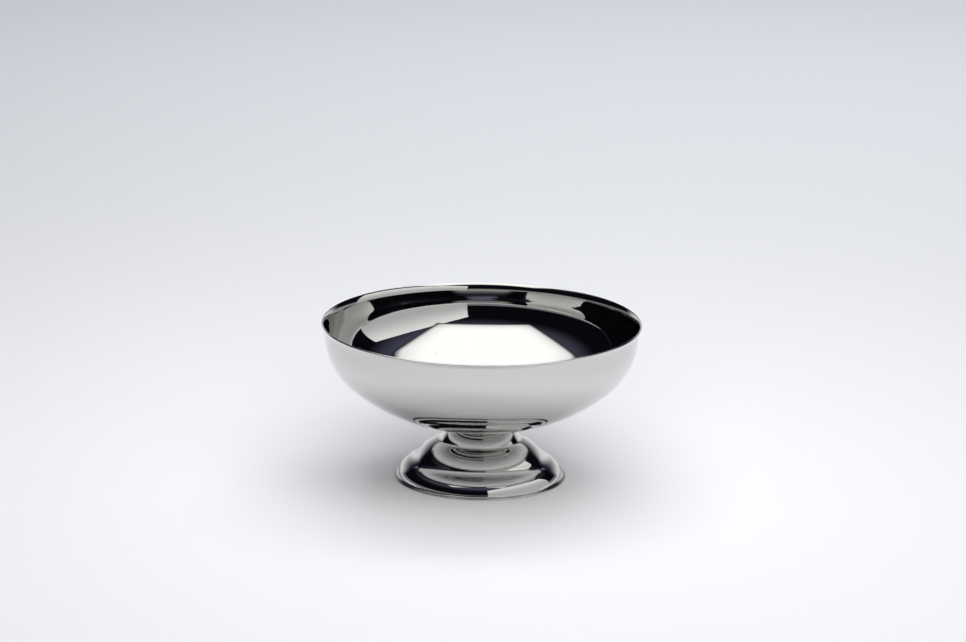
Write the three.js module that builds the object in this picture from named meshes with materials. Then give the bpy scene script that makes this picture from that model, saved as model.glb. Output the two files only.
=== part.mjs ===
// Ice cream coupe: a drawn and polished stainless steel bowl on a hollow, stepped foot, joined by
// spot welds. Millimetres, +Z up, origin at the middle of the face that it stands on.

import * as THREE from 'three';

// Driving dimensions, in millimetres. A radius of the sheet is measured on its show face: the
// outside of the bowl and the outside of the foot.
const SHEET = 0.6; // thickness of the steel of both pressings

const RIM_DIAMETER = 100; // over the trimmed edge of the lip
const BOWL_DEPTH = 32.7; // from the bowl's underside to the top of its lip
const BOWL_CORNER = 20.4; // radius of the turn from the bottom into the wall
const CORNER_SHARE = 0.8; // the most of the wall's height that the corner may take
const WALL_LENGTH = 3.2; // of the straight wall between corner and lip, along its slope
const WALL_LEAN = 6; // how far the straight wall leans out, in degrees
const LIP_RADIUS = 4; // radius of the lip's outward bend
const LIP_FLARE = 40; // how far the lip's edge leans out, in degrees

// The foot's outside is a run of bends. A slope is how steeply the face falls where one bend ends and
// the next begins, in degrees: 0 is level and 90 upright.
const SEAT_DIAMETER = 9.7; // the flat that foot and bowl share
const CROWN_RADIUS = 8.4; // radius of the round from the flat top down into the neck
const NECK_SLOPE = 62;
const NECK_FILLET = 1.6; // radius of the hollow between neck and dome
const DOME_TOP_SLOPE = 14;
const DOME_RADIUS = 11; // radius of the dome
const DOME_FOOT_SLOPE = 56.8;
const STEP_FILLET = 4.4; // radius of the hollow between dome and lobe
const LOBE_TOP_SLOPE = 19;
const LOBE_RADIUS = 5.5; // radius of the rounded lower lobe
const LOBE_FOOT_SLOPE = 80;
const FLANGE_ROOT = 0.7; // radius of the hollow between lobe and flange
const FLANGE_WIDTH = 0.6; // of the flange's flat ring

const WELD_COUNT = 4;
const WELD_START = 45; // bearing of the first weld from +X, in degrees
const WELD_DIAMETER = 2;
const WELD_HEIGHT = 0.2; // the sheets' set-down gap, which the weld metal bridges
const WELD_EDGE = 0.6; // from a weld's edge to the edge of the flat seat

// Facets: how far a chord may lie from its arc, and the facets round a full turn.
const CHORD_ERROR = 0.05;
const SAME_PLACE = 0.005; // stations closer than this are one
const FACETS_ROUND = 64;
const WELD_FACETS = 24;

const polishedSteel = new THREE.MeshStandardMaterial({
  name: 'polished_stainless',
  color: 0xcfcdcb,
  metalness: 1,
  roughness: 0.05,
});
const weldMetal = new THREE.MeshStandardMaterial({
  name: 'weld_metal',
  color: 0x8f8a86,
  metalness: 1,
  roughness: 0.55,
});

// Sizes that follow from the driving ones.
const rimRadius = RIM_DIAMETER / 2;
const seatRadius = SEAT_DIAMETER / 2;

const point = (r, z) => new THREE.Vector2(r, z);

// Angle of the way from one point to another.
const bearing = (from, to) => Math.atan2(to.y - from.y, to.x - from.x);

// A station on the sheet's show face: where it is, and which way the face looks there.
const station = (r, z, lookR, lookZ) => ({ at: point(r, z), look: point(lookR, lookZ) });

// Stations along a bend, from one angle to another about its centre. A hollow bend looks at its
// centre, and a round one away from it.
function bend(centre, radius, fromAngle, toAngle, isHollow = false) {
  const turn = toAngle - fromAngle;
  const widest = 2 * Math.acos(1 - CHORD_ERROR / radius);
  const steps = Math.ceil(Math.abs(turn) / widest);
  const side = isHollow ? -1 : 1;
  return Array.from({ length: steps + 1 }, (_, i) => {
    const angle = fromAngle + (turn * i) / steps;
    const out = point(Math.cos(angle), Math.sin(angle));
    return {
      at: centre.clone().addScaledVector(out, radius),
      look: out.multiplyScalar(side),
    };
  });
}

// The bend that carries a face on from its last station, without a kink, to a new slope.
function bendOn(last, radius, slope, isHollow = false) {
  const side = isHollow ? -1 : 1;
  const centre = last.at.clone().addScaledVector(last.look, -side * radius);
  const turned = THREE.MathUtils.degToRad(slope);
  const fromAngle = Math.atan2(side * last.look.y, side * last.look.x);
  const toAngle = Math.atan2(side * Math.cos(turned), side * Math.sin(turned));
  return bend(centre, radius, fromAngle, toAngle, isHollow);
}

// Stations that lie on each other, where one bend ends and the next begins, count once.
function withoutRepeats(stations) {
  return stations.filter((s, i) => i === 0 || s.at.distanceTo(stations[i - 1].at) > SAME_PLACE);
}

// A pressing: the sheet between its show face and a back face one thickness behind it, turned
// about the vertical axis. Both ends are on the axis or are square, trimmed edges.
function pressing(name, stations) {
  const face = withoutRepeats(stations);
  const show = face.map((s) => s.at);
  const back = face.map((s) => s.at.clone().addScaledVector(s.look, -SHEET));
  const outline = [...show, ...back.reverse()];
  if (THREE.ShapeUtils.isClockWise(outline)) {
    outline.reverse();
  }
  const geometry = new THREE.LatheGeometry(outline, FACETS_ROUND);
  geometry.rotateX(Math.PI / 2);
  const mesh = new THREE.Mesh(geometry, polishedSteel);
  mesh.name = name;
  return mesh;
}

// The foot's outside, from the middle of its flat top: the neck, a hollow, the dome, the step, the
// lobe, and the flange that it stands on.
function footStations() {
  const face = [station(0, 0, 0, 1), station(seatRadius, 0, 0, 1)];
  const runOn = (...to) => face.push(...bendOn(face.at(-1), ...to));
  runOn(CROWN_RADIUS, NECK_SLOPE);
  runOn(NECK_FILLET, DOME_TOP_SLOPE, true);
  runOn(DOME_RADIUS, DOME_FOOT_SLOPE);
  runOn(STEP_FILLET, LOBE_TOP_SLOPE, true);
  runOn(LOBE_RADIUS, LOBE_FOOT_SLOPE);
  runOn(FLANGE_ROOT, 0, true);
  const root = face.at(-1).at;
  face.push(station(root.x + FLANGE_WIDTH, root.y, 0, 1));

  // The face was run down from a top at 0, and is lifted until the flange stands on its back face.
  const lift = point(0, SHEET - root.y);
  return face.map(({ at, look }) => ({ at: at.clone().add(lift), look }));
}

const footFace = footStations();
const footHeight = footFace[0].at.y; // from the standing face to the foot's flat top
const bowlBase = footHeight + WELD_HEIGHT; // height of the bowl's underside

// The bowl's outside, from the middle of its seat: a flat, a wide bottom arc, a tighter corner, a
// straight wall and the lip's outward bend.
function bowlStations() {
  const flare = THREE.MathUtils.degToRad(LIP_FLARE);
  const lean = THREE.MathUtils.degToRad(WALL_LEAN);
  const lipCentre = point(
    rimRadius + LIP_RADIUS * Math.cos(flare),
    bowlBase + BOWL_DEPTH - (LIP_RADIUS + SHEET) * Math.sin(flare),
  );
  const wallLook = point(Math.cos(lean), -Math.sin(lean));
  const wallDown = point(-Math.sin(lean), -Math.cos(lean));
  const wallTop = lipCentre.clone().addScaledVector(wallLook, -LIP_RADIUS);
  const wallFoot = wallTop.clone().addScaledVector(wallDown, WALL_LENGTH);

  // A corner is limited by the height under its wall, so that a bottom arc can still meet it.
  const corner = Math.min(BOWL_CORNER, CORNER_SHARE * (wallFoot.y - bowlBase));
  const cornerCentre = wallFoot.clone().addScaledVector(wallLook, -corner);

  // The bottom arc leaves the seat level and runs into the corner with no kink.
  const reach = cornerCentre.x - seatRadius;
  const rise = cornerCentre.y - bowlBase;
  const bottom = (reach ** 2 + rise ** 2 - corner ** 2) / (2 * (rise - corner));
  const bottomCentre = point(seatRadius, bowlBase + bottom);
  const meeting = bearing(bottomCentre, cornerCentre);

  return [
    station(0, bowlBase, 0, -1),
    ...bend(bottomCentre, bottom, -Math.PI / 2, meeting),
    ...bend(cornerCentre, corner, meeting, -lean),
    ...bend(lipCentre, LIP_RADIUS, Math.PI - lean, Math.PI - flare, true),
  ];
}

// One spot weld: the puddle of metal that bridges the gap between the foot's top and the seat.
function spotWeld(index) {
  const radius = WELD_DIAMETER / 2;
  const geometry = new THREE.CylinderGeometry(radius, radius, WELD_HEIGHT, WELD_FACETS);
  geometry.rotateX(Math.PI / 2);
  const mesh = new THREE.Mesh(geometry, weldMetal);
  mesh.name = `spot_weld_${index + 1}`;
  const angle = THREE.MathUtils.degToRad(WELD_START) + (index * 2 * Math.PI) / WELD_COUNT;
  const weldCircle = seatRadius - WELD_EDGE - radius;
  mesh.position.set(
    weldCircle * Math.cos(angle),
    weldCircle * Math.sin(angle),
    footHeight + WELD_HEIGHT / 2,
  );
  return mesh;
}

const coupe = new THREE.Group();
coupe.add(pressing('bowl', bowlStations()));
coupe.add(pressing('foot', footFace));
for (let i = 0; i < WELD_COUNT; i += 1) {
  coupe.add(spotWeld(i));
}

export default coupe;
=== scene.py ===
# Ice cream coupe of mirror-polished stainless steel: a drawn bowl spot-welded to a hollow, stepped foot.
import math

import bpy
from mathutils import Matrix, Vector


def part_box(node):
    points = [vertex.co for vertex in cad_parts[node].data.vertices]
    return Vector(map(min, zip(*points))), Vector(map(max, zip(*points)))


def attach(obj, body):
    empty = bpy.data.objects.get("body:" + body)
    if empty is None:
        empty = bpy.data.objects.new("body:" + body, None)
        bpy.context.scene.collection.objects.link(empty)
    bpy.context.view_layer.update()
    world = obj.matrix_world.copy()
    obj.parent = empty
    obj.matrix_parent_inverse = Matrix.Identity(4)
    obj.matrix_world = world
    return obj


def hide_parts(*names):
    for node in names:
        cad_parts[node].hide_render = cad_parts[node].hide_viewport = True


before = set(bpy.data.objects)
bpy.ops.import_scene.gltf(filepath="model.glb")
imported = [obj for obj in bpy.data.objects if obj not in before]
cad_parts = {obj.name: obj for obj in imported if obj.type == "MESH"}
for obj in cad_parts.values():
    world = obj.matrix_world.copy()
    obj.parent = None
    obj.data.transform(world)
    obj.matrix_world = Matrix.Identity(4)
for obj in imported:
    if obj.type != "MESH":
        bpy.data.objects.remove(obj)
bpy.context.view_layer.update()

MM = 0.001

# Sizes that the frame gives.
bowl_low, bowl_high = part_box("bowl")
foot_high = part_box("foot")[1]
weld_low, weld_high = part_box("spot_weld_1")
weld_middle = (weld_low + weld_high) / 2
WELDS = sorted(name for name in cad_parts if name.startswith("spot_weld"))
WELD_RADIUS = (weld_high.x - weld_low.x) / 2
WELD_CIRCLE = weld_middle.xy.length
FIRST_WELD = math.atan2(weld_middle.y, weld_middle.x)

# Radii of the pressings, on the show face of the sheet.
SHEET = 0.6 * MM
BOWL_CORNER = 20.4 * MM
WALL_LENGTH = 3.2 * MM
WALL_LEAN = math.radians(6)
LIP_RADIUS = 4 * MM
LIP_FLARE = math.radians(40)
SEAT_RADIUS = 4.85 * MM

# The foot's bends from its top down: radius, the slope that the face falls at where the bend ends,
# in degrees, and whether the bend is hollow.
FOOT_BENDS = {
    "crown": (8.4 * MM, 62, False),
    "neck_fillet": (1.6 * MM, 14, True),
    "dome": (11 * MM, 56.8, False),
    "step_fillet": (4.4 * MM, 19, True),
    "lobe": (5.5 * MM, 80, False),
    "flange_root": (0.7 * MM, 0, True),
}

# Finish of the sheet: trimmed edges dulled by polishing, and the dents that the electrodes leave.
EDGE_ROUND = 0.2 * MM
MARK_RADIUS = WELD_RADIUS + 0.3 * MM
MARK_FLOOR = MARK_RADIUS * 0.6
MARK_DEPTH = 0.08 * MM

# Patterns of the finishes: their widths on the surface and their depths.
RIPPLE_WIDTH = 14 * MM
RIPPLE_DEPTH = 0.014 * MM
BUFFING_PITCH = 0.7 * MM
BUFFING_DEPTH = 0.001 * MM
HAZE_WIDTH = 20 * MM
SPECK_SPACING = 12 * MM
SPECK_RADIUS = 0.25 * MM
HEAT_BAND = 1.2 * MM
WELD_GRAIN = 0.15 * MM
WELD_GRAIN_DEPTH = WELD_GRAIN / 8
PAPER_FIBRE = 0.5 * MM
PAPER_FIBRE_DEPTH = PAPER_FIBRE / 50

# Roughness of the finishes: the noise levels between which the mirror goes from clean to hazed, what a
# speck of dust adds, the weld's smoothest and roughest grains, and the paper.
HAZE_START = 0.45
HAZE_FULL = 0.75
CLEAN_ROUGHNESS = 0.015
HAZED_ROUGHNESS = 0.06
DUST_ROUGHNESS = 0.3
WELD_SMOOTHEST = 0.4
WELD_ROUGHEST = 0.65
PAPER_ROUGHNESS = 0.9

# Fineness of the turned meshes.
FACETS_ROUND = 240
RING_STEP = 0.45 * MM
RING_TURN = math.radians(4)
SEAT_STEP = 0.25 * MM
SAME_PLACE = 0.002 * MM


def linear(hex_colour):
    """An sRGB hex colour as linear red, green, blue and alpha."""
    channels = [int(hex_colour[i : i + 2], 16) / 255 for i in (1, 3, 5)]
    return [c / 12.92 if c <= 0.04045 else ((c + 0.055) / 1.055) ** 2.4 for c in channels] + [1]


def add_node(tree, kind, inputs=None, **settings):
    """Adds a node with its settings, and sets or links its inputs by their names or places."""
    node = tree.nodes.new(kind)
    for name, value in settings.items():
        setattr(node, name, value)
    for place, value in (inputs or {}).items():
        if isinstance(value, bpy.types.NodeSocket):
            tree.links.new(value, node.inputs[place])
        else:
            node.inputs[place].default_value = value
    return node


def bearing(start, end):
    """Angle of the way from one point of the profile to another."""
    return math.atan2(end.y - start.y, end.x - start.x)


def heading(angle):
    return Vector((math.cos(angle), math.sin(angle)))


def bend(centre, radius, start, end, hollow=False):
    """Stations along an arc of the sheet: each a point of the show face and the way it looks."""
    steps = max(2, math.ceil(abs(end - start) / min(RING_TURN, RING_STEP / radius)))
    side = -1 if hollow else 1
    outs = [heading(start + (end - start) * i / steps) for i in range(steps + 1)]
    return [(centre + radius * out, side * out) for out in outs]


def bend_on(last, radius, slope, hollow):
    """The bend that carries a face on from its last station, without a kink, to a new slope."""
    at, look = last
    side = -1 if hollow else 1
    centre = at - side * radius * look
    end_look = heading(math.pi / 2 - math.radians(slope))
    start = math.atan2(side * look.y, side * look.x)
    end = math.atan2(side * end_look.y, side * end_look.x)
    return bend(centre, radius, start, end, hollow)


def seat(height, look):
    """Stations from the axis to the edge of the flat that bowl and foot share."""
    steps = math.ceil(SEAT_RADIUS / SEAT_STEP)
    return [(Vector((SEAT_RADIUS * i / steps, height)), Vector((0, look))) for i in range(steps)]


def bowl_stations():
    """The bowl's outside: flat seat, wide bottom arc, corner, straight leaning wall and flared lip."""
    lip_height = (LIP_RADIUS + SHEET) * math.sin(LIP_FLARE)
    lip_centre = Vector((bowl_high.x + LIP_RADIUS * math.cos(LIP_FLARE), bowl_high.z - lip_height))
    wall_look = heading(-WALL_LEAN)
    wall_up = heading(math.pi / 2 - WALL_LEAN)
    wall_foot = lip_centre - LIP_RADIUS * wall_look - WALL_LENGTH * wall_up
    wall_steps = math.ceil(WALL_LENGTH / RING_STEP)
    corner_centre = wall_foot - BOWL_CORNER * wall_look

    # The bottom arc leaves the seat level and runs into the corner with no kink.
    reach = corner_centre.x - SEAT_RADIUS
    rise = corner_centre.y - bowl_low.z
    bottom = (reach**2 + rise**2 - BOWL_CORNER**2) / (2 * (rise - BOWL_CORNER))
    bottom_centre = Vector((SEAT_RADIUS, bowl_low.z + bottom))
    meeting = bearing(bottom_centre, corner_centre)

    lip_end = math.pi - LIP_FLARE + EDGE_ROUND / LIP_RADIUS
    return [
        *seat(bowl_low.z, -1),
        *bend(bottom_centre, bottom, -math.pi / 2, meeting),
        *bend(corner_centre, BOWL_CORNER, meeting, -WALL_LEAN),
        *[(wall_foot + WALL_LENGTH * i / wall_steps * wall_up, wall_look) for i in range(1, wall_steps)],
        *bend(lip_centre, LIP_RADIUS, math.pi - WALL_LEAN, lip_end, hollow=True),
    ]


def foot_stations():
    """The foot's outside: flat top, neck, hollow, dome, step, lobe and the flange it stands on."""
    face = [*seat(foot_high.z, 1), (Vector((SEAT_RADIUS, foot_high.z)), Vector((0, 1)))]
    for radius, slope, hollow in FOOT_BENDS.values():
        face += bend_on(face[-1], radius, slope, hollow)
    return [*face, (Vector((foot_high.x - EDGE_ROUND, SHEET)), Vector((0, 1)))]


def trimmed_edge(station, before):
    """Points round the sheet's cut edge, past its last station: two small rounds with a flat between."""
    at, look = station
    aside = 1 if look.cross(at - before) > 0 else -1
    show_look = math.atan2(look.y, look.x)
    first = at - EDGE_ROUND * look
    second = at - (SHEET - EDGE_ROUND) * look
    rounds = [(first, 0), (first, 30), (first, 60), (first, 90), (second, 90), (second, 120), (second, 150)]
    return [centre + EDGE_ROUND * heading(show_look + aside * math.radians(turn)) for centre, turn in rounds]


def sheet_outline(stations):
    """The sheet's closed outline as (point, distance from the axis along the sheet, 1 on the back face)."""
    face = stations[:1]
    for station in stations[1:]:
        if (station[0] - face[-1][0]).length > SAME_PLACE:
            face.append(station)
    runs = [0]
    for (before, _), (after, _) in zip(face, face[1:]):
        runs.append(runs[-1] + (after - before).length)
    show = [(at, run, 0) for (at, _), run in zip(face, runs)]
    edge = [(at, runs[-1], 0) for at in trimmed_edge(face[-1], face[-2][0])[1:]]
    back = [(at - SHEET * look, run, 1) for (at, look), run in zip(face, runs)]
    return show + edge + back[::-1]


def spinning_tree():
    """Geometry nodes that turn a profile about the vertical axis and dent it at the spot welds."""
    tree = bpy.data.node_groups.new("spun_pressing", "GeometryNodeTree")
    sockets = {
        "Profile": "NodeSocketGeometry",
        "Facets Round": "NodeSocketInt",
        "Weld Count": "NodeSocketInt",
        "First Weld": "NodeSocketFloat",
        "Weld Circle": "NodeSocketFloat",
        "Mark Radius": "NodeSocketFloat",
        "Mark Floor": "NodeSocketFloat",
        "Mark Depth": "NodeSocketFloat",
        "Finish": "NodeSocketMaterial",
    }
    for name, kind in sockets.items():
        tree.interface.new_socket(name, in_out="INPUT", socket_type=kind)
    tree.interface.new_socket("Pressing", in_out="OUTPUT", socket_type="NodeSocketGeometry")
    given = add_node(tree, "NodeGroupInput").outputs

    # A grid with one row of points for each step round, wrapped onto the turned profile.
    size = add_node(tree, "GeometryNodeAttributeDomainSize", {"Geometry": given["Profile"]})
    points = size.outputs["Point Count"]
    inputs = {0: given["Facets Round"], 1: 1}
    rows = add_node(tree, "FunctionNodeIntegerMath", inputs, operation="ADD").outputs[0]
    grid = add_node(tree, "GeometryNodeMeshGrid", {"Vertices X": rows, "Vertices Y": points})
    index = add_node(tree, "GeometryNodeInputIndex").outputs[0]
    inputs = {0: index, 1: points}
    place = add_node(tree, "FunctionNodeIntegerMath", inputs, operation="MODULO").outputs[0]
    row = add_node(tree, "FunctionNodeIntegerMath", inputs, operation="DIVIDE_FLOOR").outputs[0]
    inputs = {0: math.tau, 1: given["Facets Round"]}
    step = add_node(tree, "ShaderNodeMath", inputs, operation="DIVIDE").outputs[0]
    angle = add_node(tree, "ShaderNodeMath", {0: row, 1: step}, operation="MULTIPLY").outputs[0]

    # What the profile's points hold, looked up for every point of the grid.
    position = add_node(tree, "GeometryNodeInputPosition").outputs[0]
    looked_up = {}
    for name, kind in (("at", "FLOAT_VECTOR"), ("run", "FLOAT"), ("back", "FLOAT")):
        value = position
        if name != "at":
            inputs = {"Name": name}
            value = add_node(tree, "GeometryNodeInputNamedAttribute", inputs, data_type=kind).outputs[0]
        inputs = {"Geometry": given["Profile"], "Value": value, "Index": place}
        looked_up[name] = add_node(tree, "GeometryNodeSampleIndex", inputs, data_type=kind).outputs[0]
    inputs = {"Vector": looked_up["at"], "Angle": angle}
    turned = add_node(tree, "ShaderNodeVectorRotate", inputs, rotation_type="Z_AXIS").outputs[0]

    # The nearest weld's middle, and the dent that its electrode left in the back face.
    inputs = {0: math.tau, 1: given["Weld Count"]}
    pitch = add_node(tree, "ShaderNodeMath", inputs, operation="DIVIDE").outputs[0]
    inputs = {0: angle, 1: given["First Weld"]}
    past_first = add_node(tree, "ShaderNodeMath", inputs, operation="SUBTRACT").outputs[0]
    pitches = add_node(tree, "ShaderNodeMath", {0: past_first, 1: pitch}, operation="DIVIDE").outputs[0]
    weld = add_node(tree, "ShaderNodeMath", {0: pitches}, operation="ROUND").outputs[0]
    inputs = {0: weld, 1: pitch, 2: given["First Weld"]}
    weld_angle = add_node(tree, "ShaderNodeMath", inputs, operation="MULTIPLY_ADD").outputs[0]
    ray = add_node(tree, "ShaderNodeCombineXYZ", {"X": given["Weld Circle"]}).outputs[0]
    inputs = {"Vector": ray, "Angle": weld_angle}
    middle = add_node(tree, "ShaderNodeVectorRotate", inputs, rotation_type="Z_AXIS").outputs[0]
    inputs = {0: turned, 1: (1, 1, 0)}
    flat = add_node(tree, "ShaderNodeVectorMath", inputs, operation="MULTIPLY").outputs[0]
    inputs = {0: flat, 1: middle}
    apart = add_node(tree, "ShaderNodeVectorMath", inputs, operation="DISTANCE").outputs["Value"]
    inputs = {
        "Value": apart,
        "From Min": given["Mark Radius"],
        "From Max": given["Mark Floor"],
        "To Max": given["Mark Depth"],
    }
    sunk = add_node(tree, "ShaderNodeMapRange", inputs, interpolation_type="SMOOTHSTEP").outputs[0]
    inputs = {0: sunk, 1: looked_up["back"]}
    depth = add_node(tree, "ShaderNodeMath", inputs, operation="MULTIPLY").outputs[0]
    dent = add_node(tree, "ShaderNodeCombineXYZ", {"Z": depth}).outputs[0]

    inputs = {"Geometry": grid.outputs["Mesh"], "Position": turned, "Offset": dent}
    wrapped = add_node(tree, "GeometryNodeSetPosition", inputs).outputs[0]
    inputs = {"Geometry": wrapped, "Name": "run", "Value": looked_up["run"]}
    marked = add_node(tree, "GeometryNodeStoreNamedAttribute", inputs, data_type="FLOAT").outputs[0]
    inputs = {"Geometry": marked, "Distance": SAME_PLACE}
    closed = add_node(tree, "GeometryNodeMergeByDistance", inputs).outputs[0]
    smooth = add_node(tree, "GeometryNodeSetShadeSmooth", {"Geometry": closed}).outputs[0]
    real = add_node(tree, "GeometryNodeRealizeInstances", {"Geometry": smooth}).outputs[0]
    inputs = {"Geometry": real, "Material": given["Finish"]}
    finished = add_node(tree, "GeometryNodeSetMaterial", inputs).outputs[0]
    add_node(tree, "NodeGroupOutput", {"Pressing": finished})
    return tree


def pressing(name, stations, tree, finish, mark_way):
    """One pressing: its outline as a line of points, turned by the tree into a plain mesh."""
    outline = sheet_outline(stations)

    # Taken anticlockwise, the turned outline's faces look out of the sheet.
    if sum(a[0].cross(b[0]) for a, b in zip(outline, outline[1:] + outline[:1])) < 0:
        outline.reverse()
    profile = bpy.data.meshes.new(name)
    profile.from_pydata([(at.x, 0, at.y) for at, _, _ in outline], [], [])
    for place, attribute in ((1, "run"), (2, "back")):
        held = profile.attributes.new(attribute, "FLOAT", "POINT")
        held.data.foreach_set("value", [point[place] for point in outline])

    piece = bpy.data.objects.new(name, profile)
    bpy.context.scene.collection.objects.link(piece)
    spin = piece.modifiers.new("spin", "NODES")
    spin.node_group = tree
    given = {
        "Facets Round": FACETS_ROUND,
        "Weld Count": len(WELDS),
        "First Weld": FIRST_WELD,
        "Weld Circle": WELD_CIRCLE,
        "Mark Radius": MARK_RADIUS,
        "Mark Floor": MARK_FLOOR,
        "Mark Depth": mark_way * MARK_DEPTH,
        "Finish": finish,
    }
    for socket in tree.interface.items_tree:
        if socket.name in given:
            spin[socket.identifier] = given[socket.name]
    evaluated = piece.evaluated_get(bpy.context.evaluated_depsgraph_get())
    mesh = bpy.data.meshes.new_from_object(evaluated)
    piece.modifiers.clear()
    piece.data = mesh
    mesh.name = name
    return piece


def new_material(name):
    """An empty material's node tree, with its shader and its output joined."""
    material = bpy.data.materials.new(name)
    material.use_nodes = True
    material.node_tree.nodes.clear()
    shader = add_node(material.node_tree, "ShaderNodeBsdfPrincipled")
    add_node(material.node_tree, "ShaderNodeOutputMaterial", {"Surface": shader.outputs[0]})
    return material, material.node_tree, shader


def mirror_polished_stainless():
    """Stainless steel sheet, drawn and buffed to a mirror: it shows the room, faintly rippled and hazed."""
    material, tree, shader = new_material("mirror_polished_stainless")
    place = add_node(tree, "ShaderNodeTexCoord").outputs["Object"]
    run = add_node(tree, "ShaderNodeAttribute", attribute_name="run").outputs["Fac"]

    # Drawing leaves slow ripples, and the buffing wheel faint rings, drawn coarser than real ones to show.
    inputs = {"Vector": place, "Scale": 1 / RIPPLE_WIDTH, "Detail": 1}
    ripple = add_node(tree, "ShaderNodeTexNoise", inputs).outputs["Fac"]
    inputs = {"W": run, "Scale": 1 / BUFFING_PITCH, "Detail": 2}
    rings = add_node(tree, "ShaderNodeTexNoise", inputs, noise_dimensions="1D").outputs["Fac"]
    rippled = add_node(tree, "ShaderNodeBump", {"Height": ripple, "Distance": RIPPLE_DEPTH, "Strength": 1})
    inputs = {"Height": rings, "Distance": BUFFING_DEPTH, "Strength": 1, "Normal": rippled.outputs[0]}
    buffed = add_node(tree, "ShaderNodeBump", inputs).outputs[0]

    # Handling leaves hazy patches and a few specks of dust, which dull the mirror.
    inputs = {"Vector": place, "Scale": 1 / HAZE_WIDTH, "Detail": 4}
    handled = add_node(tree, "ShaderNodeTexNoise", inputs).outputs["Fac"]
    inputs = {
        "Value": handled,
        "From Min": HAZE_START,
        "From Max": HAZE_FULL,
        "To Min": CLEAN_ROUGHNESS,
        "To Max": HAZED_ROUGHNESS,
    }
    haze = add_node(tree, "ShaderNodeMapRange", inputs).outputs[0]
    inputs = {"Vector": place, "Scale": 1 / SPECK_SPACING}
    away = add_node(tree, "ShaderNodeTexVoronoi", inputs).outputs["Distance"]
    edge = SPECK_RADIUS / SPECK_SPACING
    inputs = {"Value": away, "From Min": edge, "From Max": edge / 2}
    speck = add_node(tree, "ShaderNodeMapRange", inputs).outputs[0]
    inputs = {0: speck, 1: DUST_ROUGHNESS, 2: haze}
    roughness = add_node(tree, "ShaderNodeMath", inputs, operation="MULTIPLY_ADD").outputs[0]
    inputs = {"Factor": speck, 6: linear("#cfcecc"), 7: linear("#9c9a97")}
    colour = add_node(tree, "ShaderNodeMix", inputs, data_type="RGBA").outputs[2]

    shader.inputs["Metallic"].default_value = 1
    tree.links.new(colour, shader.inputs["Base Color"])
    tree.links.new(roughness, shader.inputs["Roughness"])
    tree.links.new(buffed, shader.inputs["Normal"])
    return material


def resistance_weld():
    """Steel that melted and set between the sheets: dull and grainy, straw to blue from the heat."""
    material, tree, shader = new_material("resistance_weld_steel")
    place = add_node(tree, "ShaderNodeTexCoord").outputs["Object"]
    inputs = {"Vector": place, "Scale": 1 / HEAT_BAND, "Detail": 2}
    heat = add_node(tree, "ShaderNodeTexNoise", inputs).outputs["Fac"]
    inputs = {"Factor": heat, 6: linear("#a8946c"), 7: linear("#6a7086")}
    tint = add_node(tree, "ShaderNodeMix", inputs, data_type="RGBA").outputs[2]
    inputs = {"Vector": place, "Scale": 1 / WELD_GRAIN, "Detail": 3}
    grain = add_node(tree, "ShaderNodeTexNoise", inputs).outputs["Fac"]
    inputs = {"Value": grain, "To Min": WELD_SMOOTHEST, "To Max": WELD_ROUGHEST}
    roughness = add_node(tree, "ShaderNodeMapRange", inputs).outputs[0]
    inputs = {"Height": grain, "Distance": WELD_GRAIN_DEPTH, "Strength": 1}
    grained = add_node(tree, "ShaderNodeBump", inputs)
    shader.inputs["Metallic"].default_value = 1
    tree.links.new(tint, shader.inputs["Base Color"])
    tree.links.new(roughness, shader.inputs["Roughness"])
    tree.links.new(grained.outputs[0], shader.inputs["Normal"])
    return material


# Camera, at the photograph's height, turn and long focus.
IMAGE_WIDTH = 966
FOCUS_IN_PIXELS = 4156.9
SENSOR = 36
CAMERA_DISTANCE = 1.3
CAMERA_RISE = math.radians(16.093)
CAMERA_DIP = math.radians(15.02)
CAMERA_ROLL = math.radians(0.757)
CAMERA_YAW = math.radians(0.018)
AIM_HEIGHT = bowl_high.z / 2

camera_data = bpy.data.cameras.new("camera")
camera_data.sensor_width = SENSOR
camera_data.lens = FOCUS_IN_PIXELS * SENSOR / IMAGE_WIDTH
camera = bpy.data.objects.new("camera", camera_data)
bpy.context.scene.collection.objects.link(camera)
back_off = CAMERA_DISTANCE * math.cos(CAMERA_RISE)
lift = CAMERA_DISTANCE * math.sin(CAMERA_RISE)
tilt = Matrix.Rotation(math.pi / 2 - CAMERA_DIP, 4, "X")
turn = Matrix.Rotation(-CAMERA_YAW, 4, "Z")
roll = Matrix.Rotation(CAMERA_ROLL, 4, "Z")
camera.matrix_world = Matrix.Translation((0, -back_off, AIM_HEIGHT + lift)) @ turn @ tilt @ roll
bpy.context.scene.camera = camera

# The coupe.
polished = mirror_polished_stainless()
spinner = spinning_tree()
bowl = pressing("polished_bowl", bowl_stations(), spinner, polished, -1)
foot = pressing("polished_foot", foot_stations(), spinner, polished, 1)
for piece, node in ((bowl, "bowl"), (foot, "foot")):
    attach(piece, "root")
    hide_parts(node)
weld_finish = resistance_weld()
for name in WELDS:
    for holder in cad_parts[name].material_slots:
        holder.material = weld_finish

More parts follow.
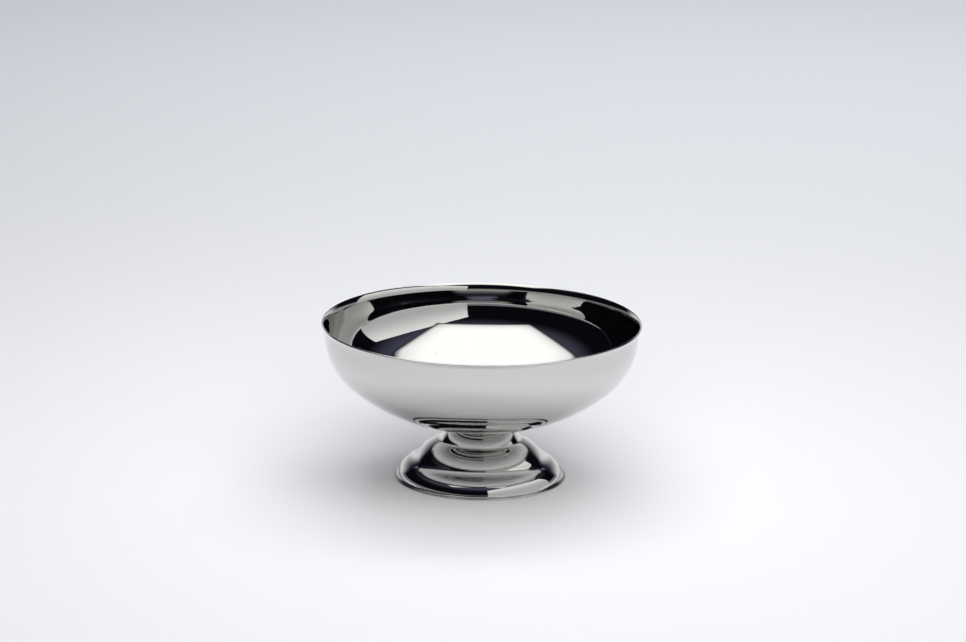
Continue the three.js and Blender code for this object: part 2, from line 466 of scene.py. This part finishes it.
# The studio, in metres: a pale table, a softbox and a white panel that the metal shows, four lamps that
# light the table, and a room that is dark but for its far end.
TABLE_RADIUS = 1.5
TABLE_STEPS = 96
SOFTBOX_FRONT_HEIGHT = 0.26
SOFTBOX_BACK_HEIGHT = 0.32
SOFTBOX_LEFT = -0.192
SOFTBOX_RIGHT = 0.168
SOFTBOX_FRONT = -0.188
SOFTBOX_BACK = 0.24
SOFTBOX_EDGE = 0.014
SOFTBOX_FALL_OUT = 0.13
SOFTBOX_FALL_IN = 0.08
SOFTBOX_RADIANCE = 1.62
PANEL_BEARING = math.radians(63)
PANEL_DISTANCE = 0.3
PANEL_TOP = 0.327
PANEL_TOWARDS_CAMERA = 0.375
PANEL_AWAY = 0.328
PANEL_RADIANCE = 1.08
PANEL_FALL = 0.1
PANEL_LOW_SHARE = 0.55
BACK_LAMP_PLACE = Vector((0.15, 0.6, 0.8))
BACK_LAMP_AIM = Vector((0.15, 0.8, 0))
BACK_LAMP_SIZE = (1.0, 0.5)
BACK_LAMP_RADIANCE = 3.6
TOP_LAMP_PLACE = Vector((0, 0, 0.35))
TOP_LAMP_AIM = Vector((0, 0, 0))
TOP_LAMP_SIZE = (0.35, 0.35)
TOP_LAMP_RADIANCE = 1.85
FRONT_LAMP_PLACE = Vector((0.15, -0.5, 0.6))
FRONT_LAMP_AIM = Vector((0.1, -0.3, 0))
FRONT_LAMP_SIZE = (1.0, 0.5)
FRONT_LAMP_RADIANCE = 1.9
FILL_LAMP_PLACE = Vector((0, -2.2, 0.9))
FILL_LAMP_AIM = Vector((0, -0.2, 0))
FILL_LAMP_SIZE = (1.6, 0.8)
FILL_LAMP_RADIANCE = 6

# The room, by the way one looks: Y is 1 towards its far end and Z is 1 straight up. A pair is where a
# change starts and where it is complete, and a glow is a radiance.
FAR_END_Y = (0.64, 0.84)
FAR_END_Z = (0.5, 0)
FAR_END_GLOW = 0.85
OVERHEAD_Z = (0.5, 0.8)
OVERHEAD_GLOW = (0.006, 0.12)
FAR_WALL_Y = (0.76, 0.84)
FAR_WALL_Z = (0.47, 0.5)
FAR_WALL_GLOW = 0.33
HORIZON_Z = (0.15, 0.12)
HORIZON_GLOW = 0.25
NEUTRAL_Z = (0.5, 0.4)
NEUTRAL_GLOW = (0.03, 0.15)


def towards(angle):
    """The level direction at a bearing from the camera's side, to the right."""
    return Vector((math.sin(angle), -math.cos(angle), 0))


def stage_piece(name, points, material):
    """A flat piece of the studio."""
    mesh = bpy.data.meshes.new(name)
    mesh.from_pydata(points, [], [range(len(points))])
    mesh.materials.append(material)
    thing = bpy.data.objects.new(name, mesh)
    bpy.context.scene.collection.objects.link(thing)
    return thing


def matt_white_paper():
    """Uncoated paper: matt and pale, with a fibre grain; it takes a soft shadow and shows no lamp."""
    material, tree, shader = new_material("matt_white_paper")
    place = add_node(tree, "ShaderNodeTexCoord").outputs["Object"]
    inputs = {"Vector": place, "Scale": 1 / PAPER_FIBRE, "Detail": 3}
    fibres = add_node(tree, "ShaderNodeTexNoise", inputs).outputs["Fac"]
    inputs = {"Factor": fibres, 6: linear("#e9e9ea"), 7: linear("#ececed")}
    colour = add_node(tree, "ShaderNodeMix", inputs, data_type="RGBA").outputs[2]
    inputs = {"Height": fibres, "Distance": PAPER_FIBRE_DEPTH, "Strength": 1}
    grained = add_node(tree, "ShaderNodeBump", inputs)
    shader.inputs["Roughness"].default_value = PAPER_ROUGHNESS
    shader.inputs["Specular IOR Level"].default_value = 0
    tree.links.new(colour, shader.inputs["Base Color"])
    tree.links.new(grained.outputs[0], shader.inputs["Normal"])
    return material


def lit_cloth(name, radiance, fades):
    """White cloth lit from behind. A fade is an axis, its dim and bright places and the dim end's share."""
    material = bpy.data.materials.new(name)
    material.use_nodes = True
    tree = material.node_tree
    tree.nodes.clear()
    place = add_node(tree, "ShaderNodeNewGeometry").outputs["Position"]
    axes = add_node(tree, "ShaderNodeSeparateXYZ", {0: place}).outputs
    glow = radiance
    for axis, dim, bright, share in fades:
        inputs = {"Value": axes[axis], "From Min": dim, "From Max": bright, "To Min": share}
        fade = add_node(tree, "ShaderNodeMapRange", inputs, interpolation_type="SMOOTHSTEP").outputs[0]
        glow = add_node(tree, "ShaderNodeMath", {0: glow, 1: fade}, operation="MULTIPLY").outputs[0]
    shader = add_node(tree, "ShaderNodeEmission", {"Strength": glow})
    add_node(tree, "ShaderNodeOutputMaterial", {"Surface": shader.outputs[0]})
    return material


def hang_lamp(name, place, aim, size, radiance, colour):
    """A flat lamp of even radiance, turned to what it lights. The metal doesn't show it."""
    light = bpy.data.lights.new(name, "AREA")
    light.shape = "RECTANGLE"
    light.size, light.size_y = size
    light.energy = radiance * math.pi * light.size * light.size_y
    light.color = linear(colour)[:3]
    lamp = bpy.data.objects.new(name, light)
    lamp.location = place
    lamp.rotation_euler = (aim - place).to_track_quat("-Z", "Y").to_euler()
    lamp.visible_camera = False
    lamp.visible_glossy = False
    bpy.context.scene.collection.objects.link(lamp)


stage_piece(
    "table",
    [TABLE_RADIUS * towards(math.tau * i / TABLE_STEPS) for i in range(TABLE_STEPS)],
    matt_white_paper(),
)

softbox_fades = []
for axis, side, inwards in (
    ("X", SOFTBOX_LEFT, 1),
    ("X", SOFTBOX_RIGHT, -1),
    ("Y", SOFTBOX_FRONT, 1),
    ("Y", SOFTBOX_BACK, -1),
):
    softbox_fades.append((axis, side - inwards * SOFTBOX_EDGE, side + inwards * SOFTBOX_EDGE, 0))
    softbox_fades.append((axis, side - inwards * SOFTBOX_FALL_OUT, side + inwards * SOFTBOX_FALL_IN, 0))
softbox_x = (SOFTBOX_LEFT - SOFTBOX_EDGE, SOFTBOX_RIGHT + SOFTBOX_EDGE)
softbox_y = (SOFTBOX_FRONT - SOFTBOX_EDGE, SOFTBOX_BACK + SOFTBOX_EDGE)
softbox_z = (SOFTBOX_FRONT_HEIGHT, SOFTBOX_BACK_HEIGHT)
softbox = stage_piece(
    "softbox",
    [(softbox_x[i], softbox_y[j], softbox_z[j]) for i, j in ((0, 0), (0, 1), (1, 1), (1, 0))],
    lit_cloth("softbox_cloth", SOFTBOX_RADIANCE, softbox_fades),
)

panel_way = towards(PANEL_BEARING)
panel_side = Vector((-panel_way.y, panel_way.x, 0))
panel_foot = PANEL_DISTANCE * panel_way
panel_corners = (
    (-PANEL_TOWARDS_CAMERA, 0),
    (PANEL_AWAY, 0),
    (PANEL_AWAY, PANEL_TOP),
    (-PANEL_TOWARDS_CAMERA, PANEL_TOP),
)
panel = stage_piece(
    "white_panel",
    [panel_foot + along * panel_side + Vector((0, 0, height)) for along, height in panel_corners],
    lit_cloth("panel_cloth", PANEL_RADIANCE, [("Z", PANEL_FALL, PANEL_TOP, PANEL_LOW_SHARE)]),
)
for cloth in (softbox, panel):
    cloth.visible_camera = False
    cloth.visible_shadow = False
    cloth.visible_diffuse = False

hang_lamp("back_lamp", BACK_LAMP_PLACE, BACK_LAMP_AIM, BACK_LAMP_SIZE, BACK_LAMP_RADIANCE, "#f8fcff")
hang_lamp("top_lamp", TOP_LAMP_PLACE, TOP_LAMP_AIM, TOP_LAMP_SIZE, TOP_LAMP_RADIANCE, "#ffffff")
hang_lamp("front_lamp", FRONT_LAMP_PLACE, FRONT_LAMP_AIM, FRONT_LAMP_SIZE, FRONT_LAMP_RADIANCE, "#ffffff")
hang_lamp("fill_lamp", FILL_LAMP_PLACE, FILL_LAMP_AIM, FILL_LAMP_SIZE, FILL_LAMP_RADIANCE, "#ffffff")

# The room: pale at the far end of the table, with a dim bluish wall above that, a dim bluish ceiling, grey
# all round where it meets the table, and near black elsewhere.
world = bpy.data.worlds.new("room")
world.use_nodes = True
room = world.node_tree
room.nodes.clear()
way = add_node(room, "ShaderNodeTexCoord").outputs["Generated"]
ways = add_node(room, "ShaderNodeSeparateXYZ", {0: way}).outputs
inputs = {"Value": ways["Y"], "From Min": FAR_END_Y[0], "From Max": FAR_END_Y[1]}
far_end = add_node(room, "ShaderNodeMapRange", inputs, interpolation_type="SMOOTHSTEP").outputs[0]
inputs = {"Value": ways["Z"], "From Min": FAR_END_Z[0], "From Max": FAR_END_Z[1], "To Max": FAR_END_GLOW}
low_down = add_node(room, "ShaderNodeMapRange", inputs, interpolation_type="SMOOTHSTEP").outputs[0]
inputs = {
    "Value": ways["Z"],
    "From Min": OVERHEAD_Z[0],
    "From Max": OVERHEAD_Z[1],
    "To Min": OVERHEAD_GLOW[0],
    "To Max": OVERHEAD_GLOW[1],
}
overhead = add_node(room, "ShaderNodeMapRange", inputs, interpolation_type="SMOOTHSTEP").outputs[0]
inputs = {0: far_end, 1: low_down, 2: overhead}
pale = add_node(room, "ShaderNodeMath", inputs, operation="MULTIPLY_ADD").outputs[0]
inputs = {"Value": ways["Z"], "From Min": FAR_WALL_Z[0], "From Max": FAR_WALL_Z[1], "To Max": FAR_WALL_GLOW}
high_up = add_node(room, "ShaderNodeMapRange", inputs).outputs[0]
inputs = {"Value": ways["Y"], "From Min": FAR_WALL_Y[0], "From Max": FAR_WALL_Y[1], "To Max": high_up}
far_wall = add_node(room, "ShaderNodeMapRange", inputs, interpolation_type="SMOOTHSTEP").outputs[0]
inputs = {"Value": ways["Z"], "From Min": HORIZON_Z[0], "From Max": HORIZON_Z[1], "To Max": HORIZON_GLOW}
horizon = add_node(room, "ShaderNodeMapRange", inputs, interpolation_type="SMOOTHSTEP").outputs[0]
behind = add_node(room, "ShaderNodeMath", {0: far_wall, 1: horizon}, operation="MAXIMUM").outputs[0]
glow = add_node(room, "ShaderNodeMath", {0: pale, 1: behind}, operation="MAXIMUM").outputs[0]

# What glows near the table is neutral, and what is dark or high up is bluish.
inputs = {"Value": ways["Z"], "From Min": NEUTRAL_Z[0], "From Max": NEUTRAL_Z[1]}
near_table = add_node(room, "ShaderNodeMapRange", inputs).outputs[0]
inputs = {
    "Value": glow,
    "From Min": NEUTRAL_GLOW[0],
    "From Max": NEUTRAL_GLOW[1],
    "To Max": near_table,
}
neutral = add_node(room, "ShaderNodeMapRange", inputs).outputs[0]
inputs = {"Factor": neutral, 6: linear("#d0d2ff"), 7: linear("#fbfbfd")}
tint = add_node(room, "ShaderNodeMix", inputs, data_type="RGBA").outputs[2]
backdrop = add_node(room, "ShaderNodeBackground", {"Color": tint, "Strength": glow})
add_node(room, "ShaderNodeOutputWorld", {"Surface": backdrop.outputs[0]})
bpy.context.scene.world = world

bpy.context.scene.view_settings.view_transform = "Standard"
